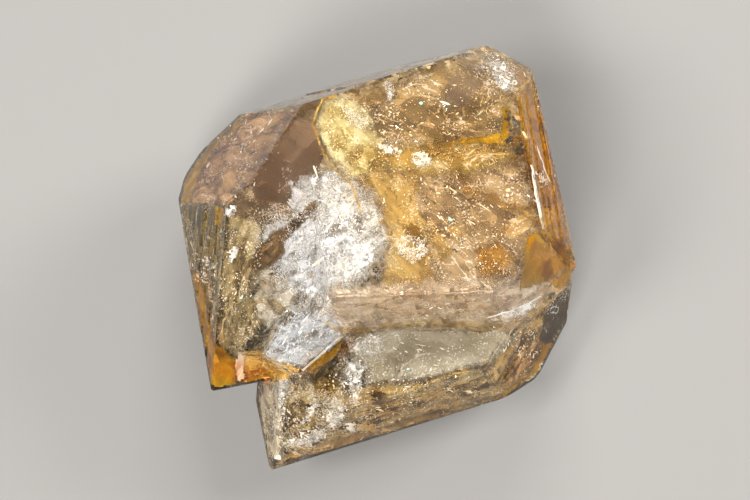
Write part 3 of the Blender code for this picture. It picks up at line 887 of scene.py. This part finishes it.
# Outline, depth in mm, darkest and lightest tint, grain in mm, the image points that its streaks
# run between, how far they are drawn out, gaps, cell size in mm, lean of the cells, opacity and soft edge.
VEILS = {
    "smoky_corner": (
        [(298, 115), (316, 126), (326, 150), (318, 172), (300, 176), (288, 205), (256, 200), (250, 182)],
        1.6, "#5C442C", "#957A60", 7.0, ((298, 116), (252, 180)), 1.5, WHOLE, 4.0, 0.08, 0.92, 2.0,
    ),
    "wedge_ground": (
        [(248, 282), (270, 268), (300, 288), (345, 288), (345, 325), (300, 314), (276, 338), (262, 345)],
        3.2, "#6E5A40", "#E6DCC8", 2.4, ((270, 330), (340, 290)), 1.5, WHOLE, 1.8, 0.35, 0.9, 5.0,
    ),
    "amber_foot": (
        [(243, 350), (262, 357), (303, 370), (281, 381), (243, 387)],
        1.0, "#93640E", "#F6CE6C", 2.2, ((246, 384), (280, 372)), 1.5, WHOLE, 1.4, 0.35, 0.93, 2.0,
    ),
    "smoky_wedge": (
        [(250, 182), (290, 200), (296, 212), (262, 224), (228, 210)],
        1.8, "#715A3C", "#B49A78", 4.0, ((250, 184), (290, 202)), 2.0, -0.9, 3.0, 0.2, 0.85, 6.0,
    ),
    "brown_band": (
        BROWN_BAND,
        1.2, "#38240C", "#86663A", 2.0, ((315, 202), (252, 264)), 2.5, WHOLE, 1.2, 0.3, 0.95, 3.0,
    ),
    "left_streaks": (
        [(182, 206), (224, 207), (216, 300), (211, 372), (201, 330)],
        1.0, "#0E0A00", "#9A7C34", 1.2, ((222, 212), (212, 340)), 4.0, WHOLE, 1.2, 0.35, 0.95, 3.0,
    ),
    "upper_left": (
        [(184, 202), (232, 114), (297, 111), (250, 182), (226, 204)],
        1.2, "#582E0C", "#D2A468", 3.0, ((212, 155), (258, 168)), 3.0, WHOLE, 1.8, 0.3, 0.95, 2.0,
    ),
    "left_ground": (
        [(226, 206), (262, 205), (258, 250), (250, 300), (264, 335), (246, 362), (214, 356)],
        2.0, "#4C3A1C", "#C0AA7C", 2.2, ((232, 340), (262, 220)), 2.5, WHOLE, 1.6, 0.35, 0.9, 6.0,
    ),
    "milk_ground": (
        MILK,
        2.2, "#857A6A", "#F8F7F5", 1.6, ((290, 280), (370, 190)), 2.5, WHOLE, 1.4, 0.35, 0.88, 8.0,
    ),
    "knee_ground": (
        [(300, 312), (345, 322), (340, 338), (303, 368), (262, 358), (277, 335)],
        1.6, "#6E685E", "#DCDEE0", 1.6, ((270, 356), (340, 328)), 2.5, WHOLE, 1.2, 0.35, 0.93, 3.0,
    ),
    "rose_band": (
        [(334, 290), (440, 284), (545, 284), (520, 318), (440, 318), (395, 322), (345, 328), (328, 318)],
        1.2, "#A2866A", "#F0DFC6", 2.5, ((340, 305), (500, 305)), 1.6, -0.7, 2.0, 0.3, 0.82, 10.0,
    ),
    "grey_window": (
        [(345, 336), (400, 328), (520, 332), (490, 362), (440, 374), (372, 384)],
        1.6, "#94876E", "#C8BEA8", 5.0, ((360, 350), (490, 345)), 2.0, WHOLE, 3.0, 0.15, 0.88, 5.0,
    ),
    "upper_ground": (
        [(350, 100), (440, 68), (490, 66), (512, 96), (502, 132), (440, 142), (385, 142)],
        1.8, "#5C441E", "#AE8E5A", 3.0, ((380, 110), (500, 135)), 1.8, WHOLE, 2.2, 0.25, 0.85, 7.0,
    ),
    "taupe_patch": (
        [(446, 78), (468, 72), (482, 84), (470, 104), (448, 106)],
        1.3, "#6E543C", "#98805F", 5.0, None, 1.0, WHOLE, 3.0, 0.1, 0.8, 5.0,
    ),
    "lobe_ground": (
        [
            (326, 102), (318, 125), (322, 142), (336, 162), (348, 178), (372, 172), (385, 140), (365, 108),
            (345, 98),
        ],
        1.7, "#98824A", "#F0E4B4", 2.2, ((330, 110), (370, 170)), 1.5, WHOLE, 1.8, 0.35, 0.9, 3.0,
    ),
    "honey_sheet": (
        [(344, 150), (420, 146), (505, 146), (515, 156), (480, 172), (400, 170), (350, 166)],
        1.4, "#6E4E10", "#BEA054", 3.0, ((350, 156), (500, 156)), 2.0, WHOLE, 2.5, 0.2, 0.86, 8.0,
    ),
    "honey_wash": (
        [(350, 165), (440, 165), (470, 240), (430, 285), (385, 285), (390, 230), (375, 195)],
        2.6, "#8A600E", "#DCBC74", 2.4, ((370, 170), (450, 250)), 2.0, -0.9, 1.8, 0.35, 0.8, 9.0,
    ),
    "right_ground": (
        [(420, 172), (522, 162), (530, 232), (516, 284), (440, 284), (415, 230)],
        2.4, "#6C5030", "#C6AA80", 4.0, ((430, 180), (520, 240)), 1.5, WHOLE, 2.0, 0.3, 0.82, 8.0,
    ),
    "lens_plane": (
        [(498, 236), (505, 222), (522, 214), (535, 216), (530, 230), (512, 240)],
        1.2, "#94723C", "#D0B27C", 3.0, ((498, 236), (535, 214)), 2.0, WHOLE, 3.0, 0.2, 0.85, 2.0,
    ),
    "amber_plane": (
        [(478, 250), (500, 244), (512, 256), (500, 272), (480, 274)],
        1.6, "#805200", "#C48C1C", 3.0, None, 1.0, WHOLE, 2.0, 0.25, 0.75, 5.0,
    ),
    "olive_patch": (
        [(315, 382), (335, 376), (340, 384), (330, 398), (316, 399)],
        1.2, "#5C4000", "#A88024", 3.0, None, 1.0, WHOLE, 2.0, 0.25, 0.85, 2.5,
    ),
    "low_ground": (
        [(290, 385), (425, 384), (480, 374), (505, 392), (432, 418), (285, 458), (275, 440)],
        1.5, "#42290A", "#CCB27C", 2.2, ((300, 420), (480, 385)), 1.6, WHOLE, 1.5, 0.4, 0.88, 5.0,
    ),
    "low_left_edge": (
        [(254, 386), (276, 384), (284, 420), (280, 462), (270, 460)],
        1.0, "#5E4020", "#E4D4B4", 2.0, ((266, 390), (276, 450)), 1.8, WHOLE, 1.4, 0.35, 0.88, 3.0,
    ),
    "low_right_ground": (
        [(512, 332), (545, 310), (543, 345), (528, 374), (506, 388), (485, 376)],
        1.4, "#523810", "#D2AE6A", 2.2, ((500, 384), (545, 320)), 1.5, WHOLE, 1.8, 0.3, 0.88, 4.0,
    ),
    "smoky_side": (
        [(550, 294), (574, 289), (569, 318), (548, 352), (541, 334)],
        0.9, "#1C140A", "#443318", 4.0, ((560, 292), (550, 345)), 2.0, WHOLE, 3.0, 0.2, 0.9, 3.0,
    ),
    # Painted shade: a near-black sheet under the narrow top face, which looks dark only because it is seen at
    # a grazing angle.
    "painted_shade_top_face": (
        [(258, 105), (474, 46), (474, 55), (400, 77), (330, 97), (262, 113)],
        0.5, "#0C0A08", "#4A4236", 4.0, ((300, 98), (440, 60)), 6.0, WHOLE, 3.0, 0.2, 0.96, 1.0,
    ),
    "bottom_rim": (
        [(276, 466), (290, 454), (430, 416), (500, 396), (504, 403), (432, 424)],
        0.5, "#7A5418", "#DEAC58", 2.0, ((290, 458), (430, 420)), 2.0, WHOLE, 1.5, 0.3, 0.75, 3.5,
    ),
    "pink_bar": (
        [(238, 352), (247, 349), (244, 366), (245, 381), (237, 382), (235, 366)],
        0.8, "#C0A080", "#F4E6D4", 3.0, ((238, 380), (243, 350)), 3.0, WHOLE, 2.0, 0.2, 0.93, 1.5,
    ),
}
for n, (name, row) in enumerate(VEILS.items()):
    outline, depth, dark, light, grain_mm, along, stretch, gaps, cell_mm, lean, opacity, soft = row
    run = (under(*along[1], 0) - under(*along[0], 0)).normalized() if along else None
    lines = 0.35 if lean > 0.1 else 0.0
    veil = film_material(
        "veil_" + name, dark, light, grain_mm, run, stretch, cell_mm, lean, 0.3, 0.15, opacity, lines=lines
    )
    sheet = seen_patch(outline, depth, 0.5, 0.15, 2.0, 90 + n, soft, gaps)
    film("veil_" + name, [sheet], veil, thickness=0.04)


# ---------------------------------------------------------------------------
# Iron films. Rust-coloured water soaked in along edges and open cracks and left
# thin skins of iron oxide, yellow where thin and deep orange where thick. Each
# has its outline, its depth in mm and its soft edge in image points.
IRON_FILMS = {
    "gold_edge": (
        [
            (520, 96), (532, 84), (538, 100), (556, 180), (573, 262), (566, 270), (552, 246), (543, 228),
            (533, 170), (522, 125),
        ],
        1.2, 3.0,
    ),
    "gold_corner": ([(520, 290), (528, 235), (537, 231), (555, 250), (566, 268), (548, 281)], 0.8, 2.0),
    "lip": ([(568, 240), (576, 272), (575, 286), (560, 291), (550, 284), (565, 270)], 0.5, 1.0),
    "left_rim": ([(226, 116), (240, 112), (202, 170), (190, 202), (180, 203), (184, 176)], 0.7, 1.5),
    "left_block": ([(214, 205), (224, 207), (224, 222), (219, 230), (214, 222)], 0.8, 1.0),
    "left_wedge": ([(230, 124), (246, 116), (236, 136), (226, 142)], 0.9, 1.5),
    "left_foot": (
        [(191, 275), (199, 270), (214, 340), (236, 360), (236, 386), (212, 390), (203, 340)],
        0.8, 2.0,
    ),
    "foot_rim": ([(240, 379), (275, 371), (274, 380), (240, 387)], 0.6, 1.0),
    "brown_wedge": ([(302, 370), (345, 338), (338, 355), (315, 371)], 0.8, 1.0),
    "seam_wedge": ([(475, 138), (505, 132), (507, 144), (470, 143), (420, 147), (400, 150)], 1.0, 2.5),
    "seam_strip": ([(502, 108), (510, 106), (509, 142), (501, 141)], 0.8, 2.0),
    "low_right": (
        [(543, 345), (553, 342), (546, 368), (528, 392), (500, 402), (505, 390), (528, 376)],
        0.8, 2.0,
    ),
}
# Lines of iron oxide: their path and their width in image points.
GOLD_LINES = [
    ([(325, 322), (335, 328), (345, 331), (368, 331), (385, 326), (400, 325)], 2.2),
    ([(400, 325), (440, 322), (480, 328), (500, 330), (512, 324), (530, 317), (545, 305), (550, 300)], 1.1),
    ([(365, 388), (385, 392), (405, 391), (425, 385), (445, 376), (470, 371)], 1.4),
    (
        [
            (336, 96), (324, 98), (317, 110), (313, 123), (318, 140), (324, 154), (338, 172), (350, 183),
            (357, 200), (361, 214),
        ],
        2.6,
    ),
    ([(513, 97), (520, 90), (530, 79)], 2.0),
]


def seen_ribbon(path, width, depth, seed):
    """A flat band of a width in image points that follows a path in the image at a small depth in mm."""
    spots = []
    for (x0, y0), (x1, y1) in zip(path, path[1:]):
        steps = max(2, int(math.hypot(x1 - x0, y1 - y0) / 2))
        spots += [(x0 + (x1 - x0) * k / steps, y0 + (y1 - y0) * k / steps) for k in range(steps)]
    spots.append(path[-1])
    rim, verts, faces = [], [], []
    for n, (px, py) in enumerate(spots):
        before, after = spots[max(n - 1, 0)], spots[min(n + 1, len(spots) - 1)]
        run = Vector((after[0] - before[0], after[1] - before[1])).normalized()
        drift = noise.noise(Vector((px * 0.12, py * 0.12, seed)))
        half = width / 2 * (0.7 + 0.6 * noise.noise(Vector((px * 0.2, py * 0.2, seed + 5.0))))
        for way in (-1, 1):
            rim.append(None)
            hit = look_at(px + (-run.y) * (drift + way * half), py + run.x * (drift + way * half))
            if hit is not None and is_inside(hit[0] + hit[2] * depth * MM, 0.05 * MM):
                rim[-1] = len(verts)
                verts.append(hit[0] + hit[2] * depth * MM)
    for n in range(0, len(rim) - 2, 2):
        face = [rim[n], rim[n + 1], rim[n + 3], rim[n + 2]]
        if None in face:
            continue
        if max((verts[face[k]] - verts[face[k - 1]]).length for k in range(4)) < 2.5 * MM:
            faces.append(face)
    return verts, faces, [1.0] * len(verts)


rust = film_material(
    "iron_oxide_film", "#764E00", "#B48A00", 4.5, image_run(0.25, 1), 1.3, 2.5, 0.25, 0.3, 0.2,
    opacity=0.97, lines=0.1,
)
down_slope = (under(548, 146, 0) - under(532, 150, 0)).normalized()
rust_edge = film_material(
    "iron_oxide_edge", "#7E5404", "#BC8C08", 4.0, down_slope, 3.0, 2.5, 0.12, 0.3, 0.2,
    opacity=0.97, lines=0.1,
)
patches = {}
for n, (name, (outline, depth, soft)) in enumerate(IRON_FILMS.items()):
    patches[name] = seen_patch(outline, depth, 0.1, 0.08, 1.8, 60 + n, soft)
film("iron_edge", [patches.pop("gold_edge")], rust_edge, thickness=0.04)
film("iron_films", patches.values(), rust, thickness=0.04)
yellow = film_material("yellow_iron_lines", "#A87410", "#E4BC3C", 1.2, lean=0.1, opacity=0.7)
bands = [seen_ribbon(path, width, 0.35, n) for n, (path, width) in enumerate(GOLD_LINES)]
film("yellow_lines", bands, yellow, thickness=0.05)

# Honey-coloured clouds of platelets: outline, depth in mm and soft edge in image points.
LOBE = [
    (324, 100), (315, 125), (320, 140), (336, 165), (346, 180), (372, 172), (385, 140), (365, 112),
    (345, 96),
]
HONEY = [
    (345, 180), (372, 170), (385, 140), (420, 148), (505, 150), (540, 232), (515, 285), (440, 285),
    (385, 240),
]
HONEY_BAND = [(345, 151), (505, 145), (508, 160), (430, 168), (345, 160)]
honey_rows = [
    (LOBE, 1.6, 3.0), (LOBE, 3.0, 4.0), (HONEY, 3.5, 16.0), (HONEY, 6.5, 20.0), (HONEY_BAND, 1.2, 3.0),
    (HONEY_BAND, 2.4, 4.0),
]
pale = flake_material("pale_yellow_platelets", "#CBAC62", "#FFF2CC", 0.25, "#FFF6D8", stain=False)
honeyed = [seen_patch(o, depth, 1.0, 0.6, 4.0, 75 + n, soft) for n, (o, depth, soft) in enumerate(honey_rows)]
strew("pale_yellow_platelets", honeyed, pale, 14.0, 0.13, 0.8, 7, 5.0, 0.42, (1, 0.7))


# ---------------------------------------------------------------------------
# White hairlines. Air has got in along a few straight cracks, seen edge on. The first and the third lie
# along edges of the crystal and are painted highlights of those edges.
# Each has its path and its width in image points.
WHITE_LINES = [
    ([(487, 318), (510, 311), (528, 304), (541, 296)], 1.4),
    ([(531, 165), (536, 195), (540, 215), (544, 229)], 2.2),
    ([(302, 370), (340, 337)], 0.7),
    ([(537, 146), (543, 164), (550, 182)], 1.6),
]
white_line = film_material("white_lines_and_painted_edge_highlights", "#ECE8E0", "#FFFFFF", 1.5, lean=0.1)
bands = [seen_ribbon(path, width, 0.5, 20 + n) for n, (path, width) in enumerate(WHITE_LINES)]
film("white_hairlines_and_painted_edge_highlights", bands, white_line, thickness=0.05)


# ---------------------------------------------------------------------------
# Splinters. Narrow slivers of air film close under the faces, flat coloured as painted glints: near
# white for the light they would mirror, and teal or violet for the tint of thin films.
# Each has its place, length and breadth in image points and angle in degrees.
SPARKS = [
    (508, 190, 6, 5, 0), (453, 190, 12, 2, 35), (484, 207, 16, 1.2, 35), (471, 222, 12, 1.5, 30),
    (445, 103, 12, 3, 20), (315, 170, 16, 3, 70), (538, 206, 30, 2.2, 78), (330, 225, 18, 3, 125),
    (350, 205, 16, 3, 130), (318, 262, 20, 3, 140), (338, 190, 12, 3, 40), (300, 240, 14, 2, 130),
    (306, 318, 16, 2, 130), (285, 340, 14, 2, 120), (262, 130, 8, 1.5, 130), (208, 165, 8, 2.5, 120),
    (270, 122, 9, 1.5, 125), (278, 457, 8, 7, 0), (525, 135, 12, 3, 60), (420, 345, 12, 1.0, 10),
    (380, 410, 10, 2, 20), (450, 390, 9, 1.5, 30), (505, 350, 9, 1.5, 120), (295, 453, 9, 4, 10),
]
TEAL_SPARKS = [
    (421, 103, 5, 4, 0), (450, 219, 6, 4, 60), (408, 369, 4, 3, 0), (241, 298, 4, 3, 0), (285, 443, 3, 2, 0),
]
VIOLET_SPARKS = [(300, 443, 6, 3, 30), (512, 178, 4, 2, 40), (296, 196, 5, 2, 40)]
# Zones that smaller ones are strewn over: middle, spread in image points, count and mean angle.
SPARK_ZONES = [
    ((335, 225), 42, 240, 130), ((300, 335), 26, 96, 125), ((350, 380), 22, 96, 95),
    ((285, 415), 18, 80, 80), ((440, 200), 50, 144, 35), ((380, 150), 30, 96, 25), ((500, 75), 18, 64, 40),
    ((430, 110), 40, 80, 20), ((480, 240), 40, 96, 35), ((240, 150), 26, 96, 125), ((206, 270), 16, 64, 95),
    ((235, 290), 24, 80, 120), ((430, 305), 60, 96, 5), ((430, 350), 50, 64, 15),
    ((400, 400), 60, 112, 165), ((525, 350), 18, 64, 110), ((545, 180), 12, 48, 78),
]
SPARK_DEPTH = 0.7  # depth below the faces, in mm
SPARK_HALF = 0.04  # half thickness of a splinter at its middle, in mm


def spark_mesh(rows, seed):
    """Thin eight-sided splinters close under the faces, for the painted glints."""
    pick = random.Random(seed)
    verts, faces = [], []
    for px, py, length, breadth, angle in rows:
        along, aside = math.cos(math.radians(angle)), math.sin(math.radians(angle))
        ring = []
        for n in range(9):  # eight corners and then the middle
            u = math.cos(math.tau * n / 8) * length / 2 * pick.uniform(0.6, 1.1) * (n < 8)
            v = math.sin(math.tau * n / 8) * breadth / 2 * pick.uniform(0.5, 1.1) * (n < 8)
            hit = look_at(px + u * along - v * aside, py + u * aside + v * along)
            if hit and is_inside(hit[0] + hit[2] * SPARK_DEPTH * MM, 0.1 * MM):
                ring.append(hit[0] + hit[2] * SPARK_DEPTH * MM)
        if len(ring) < 9:
            continue
        first = len(verts)
        middle = ring.pop()
        verts += ring + [middle + BACK * SPARK_HALF * MM, middle - BACK * SPARK_HALF * MM]
        for n in range(8):
            faces.append((first + (n + 1) % 8, first + n, first + 8))
            faces.append((first + n, first + (n + 1) % 8, first + 9))
    return verts, faces


pick = random.Random(17)
for (px, py), spread, count, angle in SPARK_ZONES:
    for _ in range(count):
        length = pick.uniform(0.8, 2.2) if pick.random() < 0.85 else pick.uniform(2.2, 6.0)
        spot = pick.gauss(px, spread * 0.5), pick.gauss(py, spread * 0.5)
        breadth = min(length * pick.uniform(0.3, 0.8), 1.3)
        SPARKS.append((*spot, length, breadth, pick.gauss(angle, 25)))
# Painted glints: near-white, teal and violet colours that stand in for light the splinters would mirror.
bright = film_material("white_painted_glint_film", "#E0CCA4", "#FFFFFF", 2.0, lean=0.1, roughness=0.15)
teal = film_material("teal_painted_glint_film", "#8CE8D8", "#D0FFF6", 1.0, lean=0.0, roughness=0.15)
violet = film_material("violet_painted_glint_film", "#C0A8F0", "#E8DCFF", 1.0, lean=0.0, roughness=0.15)
for name, rows, material in (
    ("white_painted_glint_splinters", SPARKS, bright),
    ("teal_painted_glint_splinters", TEAL_SPARKS, teal),
    ("violet_painted_glint_splinters", VIOLET_SPARKS, violet),
):
    splinters = new_object(name, *spark_mesh(rows, 9), material)
    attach(splinters, "root")


# ---------------------------------------------------------------------------
# Carbon specks. Black grains of anthraxolite, the hard tar of the rock pocket,
# caught in the quartz as it grew: image point, spread in image points, count
# and radius in mm.
SPECKS = [
    (262, 334, 9, 60, 0.26), (252, 344, 6, 60, 0.3), (264, 345, 6, 14, 0.15), (252, 298, 6, 14, 0.12),
    (512, 120, 8, 30, 0.22), (520, 150, 6, 24, 0.25), (455, 250, 4, 6, 0.2), (508, 140, 3, 20, 0.2),
    (400, 365, 14, 25, 0.12), (228, 260, 10, 10, 0.1),
]


def speck_mesh(rows, seed):
    """Small angular grains strewn under image points."""
    pick = random.Random(seed)
    verts, faces = [], []
    for place, _, ray, radius in strewn(rows, pick):
        middle = place + ray * pick.uniform(0.4, 0.9) * MM
        if not is_inside(middle, radius * 2 * MM):
            continue
        ball = bmesh.new()
        bmesh.ops.create_icosphere(ball, subdivisions=1, radius=1.0)
        angle = pick.uniform(0, math.tau)
        turn = Matrix.Rotation(angle, 3, Vector((pick.random(), pick.random(), pick.random() + 0.1)))
        stretch = Matrix.Diagonal((pick.uniform(0.5, 2.2), pick.uniform(0.4, 1.0), pick.uniform(0.3, 0.8)))
        first = len(verts)
        for v in ball.verts:
            rough = 1 + 0.35 * noise.noise(v.co * 2 + middle * 5000)
            verts.append(middle + turn @ stretch @ v.co * rough * radius * MM)
        faces += [tuple(first + v.index for v in f.verts) for f in ball.faces]
        ball.free()
    return verts, faces


carbon, tree = new_material("black_carbon_specks")
where = tree.nodes.new("ShaderNodeTexCoord").outputs["Object"]
patchy = add_node(tree, "ShaderNodeTexNoise", {"Vector": where, "Scale": 3000.0, "Detail": 3.0})
ramp = add_node(tree, "ShaderNodeValToRGB", {"Fac": patchy.outputs["Fac"]})
ramp.color_ramp.elements[0].color = linear("#0C0A09")
ramp.color_ramp.elements[1].color = linear("#3A322B")
shader = add_node(tree, "ShaderNodeBsdfPrincipled", {"Base Color": ramp.outputs["Color"], "Roughness": 0.35})
add_node(tree, "ShaderNodeOutputMaterial", {"Surface": shader.outputs[0]})
specks = new_object("carbon_specks", *speck_mesh(SPECKS, 8), carbon)
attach(specks, "root")
